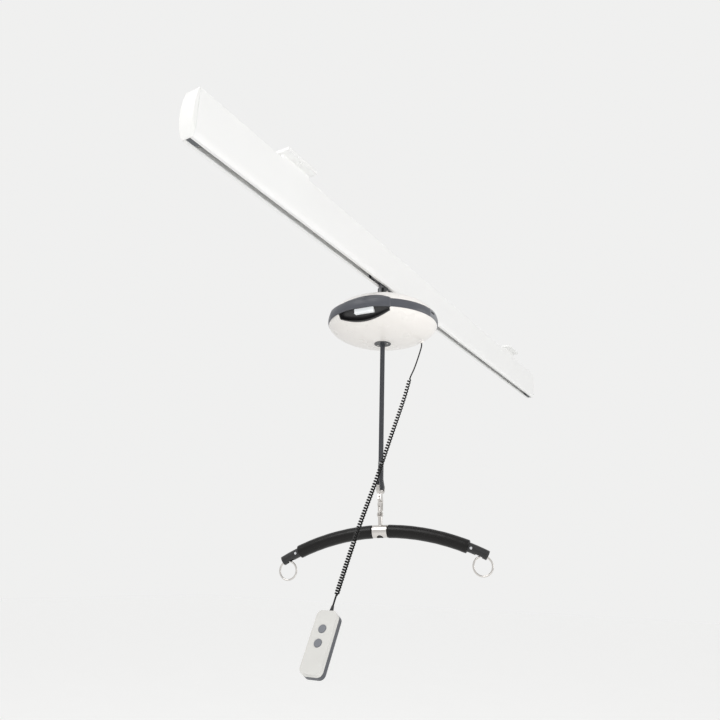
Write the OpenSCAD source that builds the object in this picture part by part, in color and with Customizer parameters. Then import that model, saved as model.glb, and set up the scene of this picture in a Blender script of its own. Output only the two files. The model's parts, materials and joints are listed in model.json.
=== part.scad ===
// Ceiling track hoist: a rail under a ceiling, a trolley that rolls inside it, a round hoist pod with
// its lifting strap, a snap hook, an arched spreader bar with rings, and a handset on a curly cord.
// Millimetres. +X runs along the rail, +Z is up, and the origin is on top of the hanger plates,
// at the centre of their bolt pattern.

/* [Rail] */
// Length of the rail extrusion
rail_length = 2266; // [2100:2:3000]
// Width of the rail
rail_w = 40; // [40:1:48]
// Height of the rail
rail_h = 121; // [110:1:130]
// Wall thickness of the rail
rail_wall = 2.5; // [2:0.5:3]
// Width of the slot along the rail's underside
slot_w = 15; // [12:0.5:15]
// Width of the rail's flat underside
rail_foot_w = 29; // [29:1:32]
// Height of the curved flanks above the underside
rail_foot_h = 20; // [16:1:24]
// How far the end caps bow out
cap_bow = 12; // [6:1:20]
// Distance between the two hanger plates
hanger_spacing = 1600; // [1200:10:1900]
// Distance between the two bolt holes of a hanger plate
hanger_hole_gap = 60; // [50:1:70]
// Radius of the bolt holes
hanger_hole_r = 4.5; // [3.5:0.5:6]

/* [Trolley] */
// Place of the trolley and the pod along the rail
pod_x = -320; // [-400:10:400]
// Radius of the trolley wheels
wheel_r = 14; // [12:0.5:15]
// Distance between the two axles
axle_gap = 100; // [80:2:140]
// Thickness of the trolley's plate
plate_t = 8; // [6:0.5:9]

/* [Pod] */
// Height of the pod's widest line
pod_z = -265; // [-290:1:-250]
// Radius of the pod at its widest line
pod_r = 163; // [160:1:175]
// Height of the upper shell above the widest line
pod_up = 75; // [72:1:85]
// Depth of the lower shell below the widest line
pod_down = 63; // [60:1:70]
// Wall thickness of the shells
shell_t = 3; // [2.5:0.5:4]
// Depth of the dark band below the widest line
band_low = 10; // [8:1:12]
// Height of the dark band above the widest line
band_top = 16; // [12:1:18]
// How far the front bezel stands out of the pod
bezel_out = 3.4; // [2:0.1:5]
// Highest line of the front bezel above the widest line
bezel_top = 28.5; // [20:0.5:32]
// Depth of the front recess below the widest line
recess_low = 38; // [34:1:42]

/* [Drive] */
// Radius from the drum's axis to the middle of the strap
winding_r = 34; // [30:0.5:36]
// Teeth of the drum gear
gear_teeth = 56; // [48:1:60]
// Teeth of the pinion
pinion_teeth = 16; // [15:1:20]
// Gear module
gear_module = 1.25; // [1:0.05:1.3]

/* [Strap and hook] */
// Width of the strap
strap_w = 25; // [20:1:25]
// Thickness of the strap
strap_t = 2.2; // [1.8:0.1:2.4]
// Height at which the sewn strap end starts
strap_sewn_z = -679; // [-700:1:-660]
// Height of the pin that carries the hook
fork_pin_z = -749; // [-755:1:-745]
// Thickness of the hook
hook_t = 8; // [7:0.5:10]

/* [Spreader bar] */
// Turn of the bar away from square to the rail, in degrees
bar_yaw = 14; // [-16:1:20]
// Tilt of the hanging bar, in degrees
bar_tilt = -2.4; // [-4:0.1:4]
// Height of the bar's middle
bar_z = -866; // [-870:1:-862]
// Radius of the bar's arch
bar_arch_r = 605; // [560:5:700]
// Half the span of the bar
bar_half = 282; // [260:1:300]
// Outer diameter of the bar's tube
bar_d = 25; // [24:0.5:26]
// Outer diameter of the foam sleeves
foam_d = 35; // [31:1:40]
// Bare length of tube beyond each foam sleeve
bare_end = 48; // [44:1:60]
// Outer diameter of the rings
ring_d = 54; // [50:1:58]
// Wire diameter of the rings
ring_wire = 5; // [4:0.5:5]

/* [Handset] */
// Diameter of the cord
cord_d = 3.9; // [3:0.1:4]
// Outer diameter of the curls
curl_d = 11.6; // [10:0.1:13]
// Number of curls
curls = 81; // [60:1:84]
// How much closer together the curls are at the lower end
curl_squeeze = 0.48; // [0.1:0.01:0.5]
// Length of the handset
handset_len = 132; // [110:1:150]
// Width of the handset
handset_w = 48; // [40:1:56]
// Thickness of the handset
handset_t = 26; // [24:1:32]

/* [Hidden] */
$fn = 64;
fit = 0.05;
gap = 0.3;

hanger_t = 8;
hanger_size = [120, 80];
spacer_size = [110, 34];
spacer_t = 15;
hanger_screw_gap = 80;
hanger_screw_r = 3;
rail_top = -hanger_t - spacer_t;
rail_bottom = rail_top - rail_h;
foot_inset = (rail_w - rail_foot_w) / 2;
flank_r = (rail_foot_h * rail_foot_h + foot_inset * foot_inset) / (2 * foot_inset);
channel_h = 50;
cap_rim = 2;

axle_r = 4;
axle_z = rail_bottom + rail_wall + wheel_r + gap;
wheel_w = 4.5;
wheel_y = 7.9;
axle_half = wheel_y + wheel_w + 1.5;
stop_len = 40;
bracket_half = [15, 11];
bracket_top = rail_bottom - 8;
bracket_low = pod_z + pod_up + 2;
bracket_pin_z = rail_bottom - 22;
neck_half = 22;
stem_r = 11;
stem_low = pod_z + 52;
shell_hole_r = 15;

band_t = 4;
band_out = 0.6;
bezel_from = -46;
bezel_to = 37;
bezel_peak_y = -57;
bezel_left_r = 394;
bezel_right_r = 65;
recess_r = 180;
recess_mid_y = -11;
recess_left = 61;
recess_right = -93;
recess_top = -3;
tray_wall = 2;
tray_depth = 12;
glue_gap = 0.15;
display_turn = 6;
display_face = 151;
display_low = [-35, -20.5];
display_high = [22, -7];
end_from = 85;
end_to = 104;
end_depth = 1.6;
slot_at = 90.5;
slot_mid_z = 4.2;
slot_size = [22, 6];

drum_y = winding_r;
drum_z = pod_z + 3;
roll_r = winding_r - strap_t / 2 - gap;
hub_r = 14;
shaft_r = 8;
drum_half = strap_w / 2 + 0.5;
flange_t = 2.5;
flange_r = winding_r + 4;
chassis_r = 108;
cheek_x = 18;
cheek_t = 4;
gear_x = 25;
gear_w = 10;
motor_plate_x = 39;
mesh_angle = 15;
pressure_angle = 20;
backlash = 0.12;
centre_gap = gear_module * (gear_teeth + pinion_teeth) / 2;
pinion_y = drum_y + centre_gap * cos(mesh_angle);
pinion_z = drum_z + centre_gap * sin(mesh_angle);
pinion_shaft_r = 5;

exit_r = 20;
exit_flange_r = 24.5;
exit_flange_t = 1.5;
exit_z = pod_z - pod_down;
exit_screw_y = 15.5;

fork_pin_r = 4;
fork_half = 16.5;
fork_top = fork_pin_z + 6;
fork_floor = fork_pin_z - 10.5;
fork_low = fork_floor - 5;
swivel_r = 4;
swivel_head_t = 3;
hook_top = fork_low - 0.5;
gate_pivot = [-12, hook_top - 15.5];
gate_pin_r = 1.5;
throat_z = gate_pivot.y - 12;
bowl_z = hook_top - 44;
bowl_r = 9;
hook_wire_r = 3.2;
bowl_out = bowl_r + 2 * hook_wire_r;
eye_z = bowl_z - bowl_r - hook_wire_r;
eye_wire_r = 2.7;
eye_r = hook_wire_r + eye_wire_r + 0.4;
collar_stem_r = 6;
collar_hole_r = 9;
collar_hole_turn = 20;
collar_r = 17;
collar_half = 20;
collar_bore = bar_d / 2 + 0.4;

bar_wall = 2.5;
end_angle = asin(bar_half / bar_arch_r);
foam_angle = asin((bar_half - bare_end) / bar_arch_r);
collar_angle = asin((collar_half + 1.2) / bar_arch_r);
rivet_angle = asin((bar_half - 40) / bar_arch_r);
rivet_r = 2.5;
ring_r = (ring_d - ring_wire) / 2;
land = 11;
land_angle = end_angle - land / bar_arch_r * 180 / PI;
land_r = bar_arch_r - bar_d / 2 + bar_wall;
ring_y = land_r * sin(land_angle);
ring_z = bar_z - bar_arch_r + land_r * cos(land_angle) - (ring_r - ring_wire / 2) + gap;
mouth_len = 19;
mouth_w = 15;

gland_at = [-237, -87.5];
gland_r = 5.5;
gland_low = -314;
gland_taper = 6;
cord_sides = 8;
lead_step = 8;
curl_sides = 6;
rings_per_curl = 8;
curl_r = (curl_d - cord_d) / 2;
handset_pitch = 31;
handset_yaw = 4;
handset_dir = [-sin(handset_pitch) * cos(handset_yaw), -sin(handset_pitch) * sin(handset_yaw),
               -cos(handset_pitch)];
relief_len = 18;
button_r = 8.7;
button_z = [-40, -70];
handset_wall = 2.5;
handset_corner = 12;

// Middle line of the cord, from the pod's gland to the handset's strain relief
route = [
    [-237, -87.5, -314], [-238.3, -87.8, -323], [-250, -89.3, -342], [-270, -90, -375], [-292, -89.5, -411],
    [-313, -88, -442], [-352, -89.3, -511], [-420, -89.3, -623], [-465, -89.4, -698], [-506, -89, -767],
    [-562, -87.7, -856], [-615, -87.5, -945], [-642, -88, -991], [-662, -88.5, -1025],
    [-666.5, -88.8, -1032.5], [-671, -89.1, -1040]
];
curl_from = 5;
curl_to = 13;

// Points of an arc, from one angle to another
function arc(centre, r, from, to, steps) =
    [for (i = [0 : steps]) let (a = from + (to - from) * i / steps) centre + r * [cos(a), sin(a)]];

function reversed(list) = [for (i = [len(list) - 1 : -1 : 0]) list[i]];

function unit(v) = v / norm(v);

// Extrude an outline of Y and Z along X
module along_x(x, length) {
    translate([x, 0, 0]) rotate([90, 0, 90]) linear_extrude(length) children();
}

// Extrude an outline of X and Z along Y
module along_y(y, length) {
    translate([0, y + length, 0]) rotate([90, 0, 0]) linear_extrude(length) children();
}

module rod_x(r, x, length) {
    translate([x, 0, 0]) rotate([0, 90, 0]) cylinder(r = r, h = length);
}

module rod_y(r, y, length) {
    translate([0, y, 0]) rotate([-90, 0, 0]) cylinder(r = r, h = length);
}

// Box from a low corner to a high corner
module block(low, high) {
    translate(low) cube(high - low);
}

// Rail and its fittings

// Curved flank of the rail's section, drawn in by an inset, from the underside up
function rail_flank(inset) =
    let (r = flank_r - inset, a = asin((rail_foot_h - inset) / r))
    arc([rail_w / 2 - flank_r, rail_bottom + rail_foot_h], r, -a, 0, 8);

// Section of the rail, drawn in by an inset, up to a height
module rail_section(inset, top) {
    side = rail_flank(inset);
    half = rail_w / 2 - inset;
    polygon(concat(side, [[half, top], [-half, top]], [for (p = reversed(side)) [-p.x, p.y]]));
}

module rail() {
    inner = rail_w / 2 - rail_wall;
    web_top = rail_bottom + 2 * rail_wall + channel_h;
    color("white") difference() {
        along_x(-rail_length / 2, rail_length) rail_section(0, rail_top);
        along_x(-rail_length, 2 * rail_length) rail_section(rail_wall, rail_bottom + rail_wall + channel_h);
        block([-rail_length, -slot_w / 2, rail_bottom - 1], [rail_length, slot_w / 2, rail_bottom + rail_wall + 1]);
        block([-rail_length, -inner, web_top], [rail_length, inner, rail_top - rail_wall - 1]);
        each_hanger_screw() translate([0, 0, rail_top - 10]) cylinder(r = hanger_screw_r + 0.2, h = 11);
    }
}

// A cap with a low rim, whose bowed face is part of a cylinder across the rail
module end_cap() {
    half = rail_h / 2;
    bow = cap_bow - cap_rim;
    bow_r = (half * half + bow * bow) / (2 * bow);
    mid_z = rail_bottom + half;
    color("white") intersection() {
        along_x(rail_length / 2, cap_bow + 1) rail_section(0, rail_top);
        translate([rail_length / 2 + cap_bow - bow_r, 0, mid_z]) rod_y(bow_r, -rail_w, 2 * rail_w, $fn = 720);
    }
}

module end_cap_far() {
    end_cap();
}

module end_cap_near() {
    mirror([1, 0, 0]) end_cap();
}

// Rubber buffer that stops the trolley at the end of the channel
module end_stop() {
    x = rail_length / 2 - stop_len;
    color("dimgray") union() {
        along_x(x + 8, stop_len - 8) rail_section(rail_wall + 0.5, rail_bottom + rail_wall + channel_h - 0.5);
        translate([0, 0, axle_z]) rod_x(9, x, 10);
    }
}

module end_stop_far() {
    end_stop();
}

module end_stop_near() {
    mirror([1, 0, 0]) end_stop();
}

module each_hanger_screw() {
    for (x = [-1, 1], side = [-1, 1]) {
        translate([x * hanger_spacing / 2 + side * hanger_screw_gap / 2, 0, 0]) children();
    }
}

// Ceiling plate with a spacer under it that the rail is screwed to
module hanger(x) {
    hole_h = hanger_t + spacer_t + 2;
    color("white") difference() {
        translate([x, 0, 0]) union() {
            block([-hanger_size.x / 2, -hanger_size.y / 2, -hanger_t], [hanger_size.x / 2, hanger_size.y / 2, 0]);
            block([-spacer_size.x / 2, -spacer_size.y / 2, rail_top],
                  [spacer_size.x / 2, spacer_size.y / 2, -hanger_t + 1]);
        }
        for (side = [-1, 1]) {
            translate([x, side * hanger_hole_gap / 2, rail_top - 1]) cylinder(r = hanger_hole_r, h = hole_h);
        }
        each_hanger_screw() translate([0, 0, rail_top - 1]) cylinder(r = hanger_screw_r + 0.2, h = hole_h);
        each_hanger_screw() translate([0, 0, -4]) cylinder(r1 = hanger_screw_r + 0.2, r2 = 7.3, h = 4.1);
    }
}

module hanger_near() {
    hanger(-hanger_spacing / 2);
}

module hanger_far() {
    hanger(hanger_spacing / 2);
}

module hanger_screws() {
    color("silver") each_hanger_screw() union() {
        translate([0, 0, rail_top - 8]) cylinder(r = hanger_screw_r, h = 8 + hanger_t + spacer_t - 4);
        translate([0, 0, -4]) cylinder(r1 = hanger_screw_r, r2 = 6.6, h = 3.6);
    }
}

// Trolley

module trolley_frame() {
    bar_half_x = axle_gap / 2 + 18;
    bar_low = axle_z - 12;
    color("silver") difference() {
        translate([pod_x, 0, 0]) along_y(-plate_t / 2, plate_t) polygon([
            [-bar_half_x, axle_z + 12], [bar_half_x, axle_z + 12], [bar_half_x, bar_low], [neck_half, bar_low],
            [neck_half, bracket_pin_z - 13], [-neck_half, bracket_pin_z - 13], [-neck_half, bar_low],
            [-bar_half_x, bar_low]]);
        for (side = [-1, 1]) {
            translate([pod_x + side * axle_gap / 2, 0, axle_z]) rod_y(axle_r + fit, -plate_t, 2 * plate_t);
        }
        translate([pod_x, 0, bracket_pin_z]) rod_y(4 + fit, -plate_t, 2 * plate_t);
    }
}

module axles() {
    collar_len = wheel_y - plate_t / 2 - 0.4;
    color("silver") for (side = [-1, 1]) {
        translate([pod_x + side * axle_gap / 2, 0, axle_z]) union() {
            rod_y(axle_r, -axle_half, 2 * axle_half);
            rod_y(6, plate_t / 2 + 0.1, collar_len);
            rod_y(6, -plate_t / 2 - 0.1 - collar_len, collar_len);
        }
    }
}

// A wheel with a shallow tread groove, turning on its axle
module wheel(along, side) {
    y = side > 0 ? wheel_y : -wheel_y - wheel_w;
    color("dimgray") translate([pod_x + along * axle_gap / 2, 0, axle_z]) difference() {
        rod_y(wheel_r, y, wheel_w);
        rod_y(axle_r + fit, y - 1, wheel_w + 2);
        difference() {
            rod_y(wheel_r - 4, y - 1, 2.2);
            rod_y(7, y - 2, 4);
        }
    }
}

module wheel_near_left() {
    wheel(-1, 1);
}

module wheel_near_right() {
    wheel(-1, -1);
}

module wheel_far_left() {
    wheel(1, 1);
}

module wheel_far_right() {
    wheel(1, -1);
}

// Fork that hangs the pod from the trolley's plate
module trolley_bracket() {
    color("dimgray") translate([pod_x, 0, 0]) difference() {
        union() {
            block([-bracket_half.x, -bracket_half.y, bracket_low], [bracket_half.x, bracket_half.y, bracket_top]);
            translate([0, 0, stem_low]) cylinder(r = stem_r, h = bracket_low - stem_low + 1);
        }
        block([-bracket_half.x - 1, -plate_t / 2 - 0.2, bracket_pin_z - 15],
              [bracket_half.x + 1, plate_t / 2 + 0.2, bracket_top + 1]);
        translate([0, 0, bracket_pin_z]) rod_y(4 + fit, -bracket_half.y - 1, 2 * bracket_half.y + 2);
    }
}

module bracket_pin() {
    color("silver") translate([pod_x, 0, bracket_pin_z]) union() {
        rod_y(4, -bracket_half.y - 3, 2 * bracket_half.y + 6);
        rod_y(6.5, bracket_half.y + 0.1, 3);
        rod_y(6.5, -bracket_half.y - 3.1, 3);
    }
}

// Pod

// Half of the pod's outline, grown by a distance, from a height off the widest line in to a radius
function cap_curve(grow, height, from_z, to_r, steps) =
    let (a0 = asin(from_z / (height + grow)), a1 = acos(to_r / (pod_r + grow)))
    [for (i = [0 : steps]) let (a = a0 + (a1 - a0) * i / steps) [(pod_r + grow) * cos(a), (height + grow) * sin(a)]];

// Radius of the pod, grown by a distance, at a height off the widest line
function pod_radius(z, grow) =
    (pod_r + grow) * sqrt(1 - pow(z / ((z > 0 ? pod_up : pod_down) + grow), 2));

function flank(grow, from_z, to_z, steps) =
    [for (i = [0 : steps]) let (z = from_z + (to_z - from_z) * i / steps) [pod_radius(z, grow), z]];

function flipped(list) = [for (p = list) [p.x, -p.y]];

module at_pod() {
    translate([pod_x, 0, pod_z]) children();
}

// The whole pod as one solid, grown by a distance
module pod_solid(grow) {
    upper = cap_curve(grow, pod_up, 0, 0, 20);
    lower = flipped(cap_curve(grow, pod_down, 0, 0, 20));
    rotate_extrude() polygon(concat(reversed(lower), [for (i = [1 : 20]) upper[i]]));
}

// Prism of the front recess, with blunt ends and a round lower side, drawn in by an inset
module recess_prism(inset) {
    mid_z = recess_r - recess_low;
    intersection() {
        translate([0, recess_mid_y, mid_z]) rod_x(recess_r - inset, -pod_r - 20, 100);
        block([-pod_r - 20, recess_right + inset, -pod_down],
              [-pod_r + 80, recess_left - inset, recess_top - inset]);
    }
}

module upper_shell() {
    color("white") at_pod() rotate_extrude() polygon(concat(
        cap_curve(0, pod_up, band_top + 0.2, shell_hole_r, 20),
        reversed(cap_curve(-shell_t, pod_up, band_top + 0.2, shell_hole_r, 20))));
}

module lower_shell() {
    color("white") at_pod() difference() {
        rotate_extrude() polygon(flipped(concat(
            cap_curve(0, pod_down, band_low + 0.2, exit_r + 0.3, 20),
            reversed(cap_curve(-shell_t, pod_down, band_low + 0.2, exit_r + 0.3, 20)))));
        recess_prism(0);
        translate([gland_at.x - pod_x, gland_at.y, -pod_down]) cylinder(r = gland_r + 0.1, h = pod_down);
    }
}

// Part of a ring round the pod, between two angles counted from the front
module sector(from, to) {
    rotate([0, 0, 180 + from]) rotate_extrude(angle = to - from) children();
}

module band() {
    color("dimgray") at_pod() difference() {
        rotate_extrude() polygon(concat(flank(band_out, -band_low, band_top, 12),
                                        reversed(flank(-band_t, -band_low, band_top, 12))));
        recess_prism(0);
        sector(end_from, end_to) polygon(concat(flank(band_out + 1, -band_low, band_top, 12),
                                                reversed(flank(-end_depth, -band_low, band_top, 12))));
    }
}

// Front view of the bezel: a long rise from the left, a peak, and a short fall to the right
module bezel_front() {
    end_y = -pod_r * sin(bezel_to) - 10;
    left_end = bezel_peak_y + sqrt(2 * bezel_left_r * (bezel_top - band_top) - pow(bezel_top - band_top, 2));
    right_turn = acos(1 - (bezel_top - band_low) / bezel_right_r);
    left_turn = asin((left_end - bezel_peak_y) / bezel_left_r);
    polygon(concat([[end_y, -band_low - 1]], [[pod_r, -band_low - 1], [pod_r, band_top]],
                   arc([bezel_peak_y, bezel_top - bezel_left_r], bezel_left_r, 90 - left_turn, 90, 12),
                   arc([bezel_peak_y, bezel_top - bezel_right_r], bezel_right_r, 90, 90 + right_turn, 12)));
}

// Visor over the recess
module front_bezel() {
    inner = band_out + 0.1;
    color("dimgray") at_pod() intersection() {
        sector(bezel_from, bezel_to) polygon(concat(flank(bezel_out, -band_low, bezel_top, 14),
                                                    reversed(flank(inner, -band_low, bezel_top, 14))));
        along_x(-pod_r - 20, pod_r) bezel_front();
    }
}

// Lighter inlaid piece of the band, with the charging slot
module band_end() {
    color("gray") at_pod() difference() {
        sector(end_from + 0.2, end_to - 0.2) polygon(concat(
            flank(band_out + 0.2, -band_low, band_top, 12),
            reversed(flank(-end_depth + 0.05, -band_low, band_top, 12))));
        rotate([0, 0, 180 + slot_at])
            block([pod_r - end_depth - 1, -slot_size.x / 2, slot_mid_z - slot_size.y / 2],
                  [pod_r + 5, slot_size.x / 2, slot_mid_z + slot_size.y / 2]);
    }
}

// Dark tray that lines the recess
module recess_tray() {
    color("black") at_pod() difference() {
        intersection() {
            recess_prism(0.3);
            pod_solid(-0.6);
        }
        pod_solid(-tray_depth - tray_wall);
        difference() {
            recess_prism(0.3 + tray_wall);
            pod_solid(-tray_depth);
        }
    }
}

// Flat blank window on the back of the tray
module display() {
    color("white") at_pod() difference() {
        rotate([0, 0, display_turn]) block([-display_face, display_low.x, display_low.y],
                                           [-display_face + 12, display_high.x, display_high.y]);
        pod_solid(-tray_depth + glue_gap, $fn = 256);
    }
}

// Inside the pod

module chassis() {
    top = stem_low - pod_z;
    low = -42;
    color("lightgray") at_pod() difference() {
        union() {
            translate([0, 0, top - cheek_t]) cylinder(r = chassis_r, h = cheek_t);
            for (x = [-cheek_x - cheek_t, cheek_x]) {
                block([x, -14, low], [x + cheek_t, 74, top - 1]);
            }
            block([motor_plate_x, 44, -16], [motor_plate_x + cheek_t, chassis_r - 10, top - 1]);
        }
        translate([0, drum_y, drum_z - pod_z]) rod_x(11.02, -40, 65);
        translate([0, pinion_y, pinion_z - pod_z]) rod_x(pinion_shaft_r + 0.4, 30, 30);
    }
}

module at_drum() {
    translate([pod_x, drum_y, drum_z]) children();
}

module at_pinion() {
    translate([pod_x, pinion_y, pinion_z]) children();
}

module drum() {
    color("silver") at_drum() difference() {
        union() {
            rod_x(hub_r - 0.1, -drum_half, 2 * drum_half);
            rod_x(flange_r, drum_half, flange_t);
            rod_x(flange_r, -drum_half - flange_t, flange_t);
        }
        rod_x(shaft_r + 0.02, -40, 80);
    }
}

// Involute function of an angle in degrees, in radians
function involute(a) = tan(a) - a * PI / 180;

// Half the angle that a tooth takes up at a radius
function tooth_half(teeth, r) =
    let (pitch_r = gear_module * teeth / 2, base_r = pitch_r * cos(pressure_angle))
    90 / teeth - backlash / pitch_r * 180 / PI
        + (involute(pressure_angle) - involute(acos(min(1, base_r / r)))) * 180 / PI;

function tooth(teeth, at) =
    let (pitch_r = gear_module * teeth / 2, base_r = pitch_r * cos(pressure_angle))
    let (root_r = pitch_r - 1.15 * gear_module, tip_r = pitch_r + 0.8 * gear_module, low_r = max(base_r, root_r))
    let (rs = [for (i = [0 : 4]) low_r + (tip_r - low_r) * i / 4], foot = tooth_half(teeth, low_r))
    concat([root_r * [cos(at - foot), sin(at - foot)]],
           [for (r = rs) let (a = at - tooth_half(teeth, r)) r * [cos(a), sin(a)]],
           [for (r = reversed(rs)) let (a = at + tooth_half(teeth, r)) r * [cos(a), sin(a)]],
           [root_r * [cos(at + foot), sin(at + foot)]]);

// Spur gear outline with its first tooth at an angle
module gear_outline(teeth, first) {
    polygon([for (i = [0 : teeth - 1]) each tooth(teeth, first + i * 360 / teeth)]);
}

module drum_gear() {
    color("goldenrod") at_drum() difference() {
        along_x(gear_x, gear_w) gear_outline(gear_teeth, mesh_angle);
        rod_x(shaft_r + 0.02, gear_x - 1, gear_w + 2);
    }
}

module drum_shaft() {
    color("silver") at_drum() rod_x(shaft_r, -cheek_x - cheek_t - 6, cheek_x + cheek_t + 6 + gear_x + gear_w);
}

module shaft_bushes() {
    color("peru") at_drum() for (x = [-cheek_x - cheek_t, cheek_x]) {
        difference() {
            rod_x(11, x, cheek_t);
            rod_x(shaft_r + fit, x - 1, cheek_t + 2);
        }
    }
}

module strap_roll() {
    color("dimgray") at_drum() difference() {
        rod_x(roll_r, -strap_w / 2, strap_w);
        rod_x(hub_r, -strap_w, 2 * strap_w);
    }
}

module pinion() {
    half_pitch = 180 / pinion_teeth;
    color("silver") at_pinion() union() {
        along_x(gear_x, gear_w) gear_outline(pinion_teeth, mesh_angle + 180 + half_pitch);
        rod_x(pinion_shaft_r, gear_x + gear_w - 1, 18);
    }
}

module gearbox() {
    x = motor_plate_x + cheek_t + 0.2;
    color("gray") at_pinion() difference() {
        rod_x(24, x, 23);
        rod_x(pinion_shaft_r + fit, x - 1, 11);
    }
}

module motor() {
    x = motor_plate_x + cheek_t + 23.3;
    color("silver") at_pinion() union() {
        rod_x(26, x, 34);
        rod_x(9, x + 33, 5);
    }
}

module battery(side) {
    low_x = side < 0 ? -80 : 3;
    color("darkslategray") at_pod() block([low_x, -100, -22], [low_x + 77, -45, 30]);
}

module battery_near() {
    battery(-1);
}

module battery_far() {
    battery(1);
}

module circuit_board() {
    color("darkgreen") at_pod() union() {
        block([-100, -50, -20], [-98.4, 60, 35]);
        block([-98.5, -30, -10], [-90, 0, 8]);
        block([-98.5, 12, -12], [-93, 40, 20]);
    }
}

// Round guide that the strap leaves through
module strap_exit() {
    color("dimgray") translate([pod_x, 0, exit_z]) difference() {
        union() {
            translate([0, 0, -exit_flange_t + 0.3]) cylinder(r = exit_r, h = 8);
            translate([0, 0, -exit_flange_t + 0.3]) cylinder(r = exit_flange_r, h = exit_flange_t);
        }
        block([-strap_w / 2 - 1, -2.5, -10], [strap_w / 2 + 1, 2.5, 20]);
        for (side = [-1, 1]) {
            translate([0, side * exit_screw_y, -5]) cylinder(r = 1.5, h = 20);
        }
    }
}

module exit_screws() {
    color("silver") for (side = [-1, 1]) {
        translate([pod_x, side * exit_screw_y, exit_z - exit_flange_t + 0.2]) union() {
            translate([0, 0, -1]) cylinder(r = 2.8, h = 1);
            translate([0, 0, -0.5]) cylinder(r = 1.45, h = 7);
        }
    }
}

// Strap and hook

module strap() {
    color("dimgray") block([pod_x - strap_w / 2, -strap_t / 2, strap_sewn_z + gap],
                           [pod_x + strap_w / 2, strap_t / 2, drum_z]);
}

// Folded and sewn end of the strap, looped round the fork's pin
module strap_end() {
    ply = strap_t * 1.05;
    loop_r = fork_pin_r + strap_t;
    color("dimgray") translate([pod_x, 0, 0]) along_x(-strap_w / 2, strap_w) difference() {
        polygon(concat([[-ply, strap_sewn_z], [-ply, fork_pin_z + 28]],
                       arc([0, fork_pin_z], loop_r, 180, 360, 16),
                       [[ply, fork_pin_z + 28], [ply, strap_sewn_z]]));
        polygon(concat([[0, fork_pin_z + 22]], arc([0, fork_pin_z], fork_pin_r + fit, 170, 370, 20)));
    }
}

module hook_fork() {
    inner = strap_w / 2 + 0.4;
    color("silver") translate([pod_x, 0, 0]) difference() {
        along_y(-4.5, 9) polygon([[-fork_half, fork_top], [-inner, fork_top], [-inner, fork_floor],
                                  [inner, fork_floor], [inner, fork_top], [fork_half, fork_top],
                                  [fork_half, fork_floor + 1.5], [11, fork_low], [-11, fork_low],
                                  [-fork_half, fork_floor + 1.5]]);
        translate([0, 0, fork_pin_z]) rod_x(fork_pin_r + fit, -30, 60);
        translate([0, 0, fork_low - 1]) cylinder(r = swivel_r + fit, h = 12);
    }
}

module fork_pin() {
    color("silver") translate([pod_x, 0, fork_pin_z]) rod_x(fork_pin_r, -fork_half - 0.5, 2 * fork_half + 1);
}

// Frame of the hook: turned about the strap
module at_hook() {
    translate([pod_x, 0, 0]) rotate([0, 0, bar_yaw]) children();
}

// Frame of the bar: turned with the hook and tilted about the bowl of the hook
module at_bar() {
    at_hook() translate([0, 0, eye_z]) rotate([bar_tilt, 0, 0]) translate([0, 0, -eye_z]) children();
}

// Snap hook with a flat back, a round bowl and a swivel stem; its opening is on the side towards -X
module hook_body() {
    shoulder_z = gate_pivot.y - 2;
    color("silver") at_hook() difference() {
        union() {
            along_y(-hook_t / 2, hook_t) polygon(concat(
                [[-8, hook_top], [8, hook_top], [15, shoulder_z], [bowl_out, bowl_z - 1], [bowl_r, bowl_z - 1]],
                arc([0, throat_z], bowl_r, 0, 180, 16), [[-15.5, throat_z], [-15.5, shoulder_z]]));
            translate([0, 0, bowl_z]) rotate([-90, 0, 0]) rotate_extrude(angle = 180)
                translate([bowl_r + hook_wire_r, 0]) circle(r = hook_wire_r);
            translate([-bowl_r - hook_wire_r, 0, bowl_z]) cylinder(r = hook_wire_r, h = 12);
            translate([0, 0, hook_top - 1]) cylinder(r = swivel_r, h = fork_floor + gap - hook_top + 2);
            translate([0, 0, fork_floor + gap]) cylinder(r = 6.2, h = swivel_head_t);
        }
        along_y(-10, 20) polygon([[-20, gate_pivot.y - 4], [-bowl_r + 1, gate_pivot.y - 4],
                                  [-bowl_r + 1, bowl_z + 2], [-20, bowl_z + 12]]);
        translate([gate_pivot.x, 0, gate_pivot.y]) rod_y(10, -2.5, 5);
        translate([gate_pivot.x, 0, gate_pivot.y]) rod_y(gate_pin_r + 0.02, -10, 20);
    }
}

module hook_gate() {
    color("silver") at_hook() difference() {
        union() {
            along_y(-3.5, 7) polygon([[-15.5, throat_z + 1.5], [-9.4, throat_z + 1.5], [-9.4, bowl_z + 3.8],
                                      [-15.5, bowl_z + 10.1]]);
            along_y(-2.2, 4.4) polygon(concat([[-15.2, throat_z], [-9.5, throat_z]],
                                              arc(gate_pivot, 5, -30, 210, 16)));
        }
        translate([gate_pivot.x, 0, gate_pivot.y]) rod_y(gate_pin_r + fit, -10, 20);
    }
}

module gate_pin() {
    color("silver") at_hook() translate([gate_pivot.x, 0, gate_pivot.y]) rod_y(gate_pin_r, -hook_t / 2, hook_t);
}

// Spreader bar

// Part of the bar's arch between two angles from its middle, positive towards +Y
module on_arch(from, to) {
    translate([0, 0, bar_z - bar_arch_r]) rotate([90, 0, 90]) rotate([0, 0, 90 - to])
        rotate_extrude(angle = to - from) translate([bar_arch_r, 0]) children();
}

module ring_outline(outer_r, inner_r) {
    difference() {
        circle(r = outer_r);
        circle(r = inner_r);
    }
}

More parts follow.
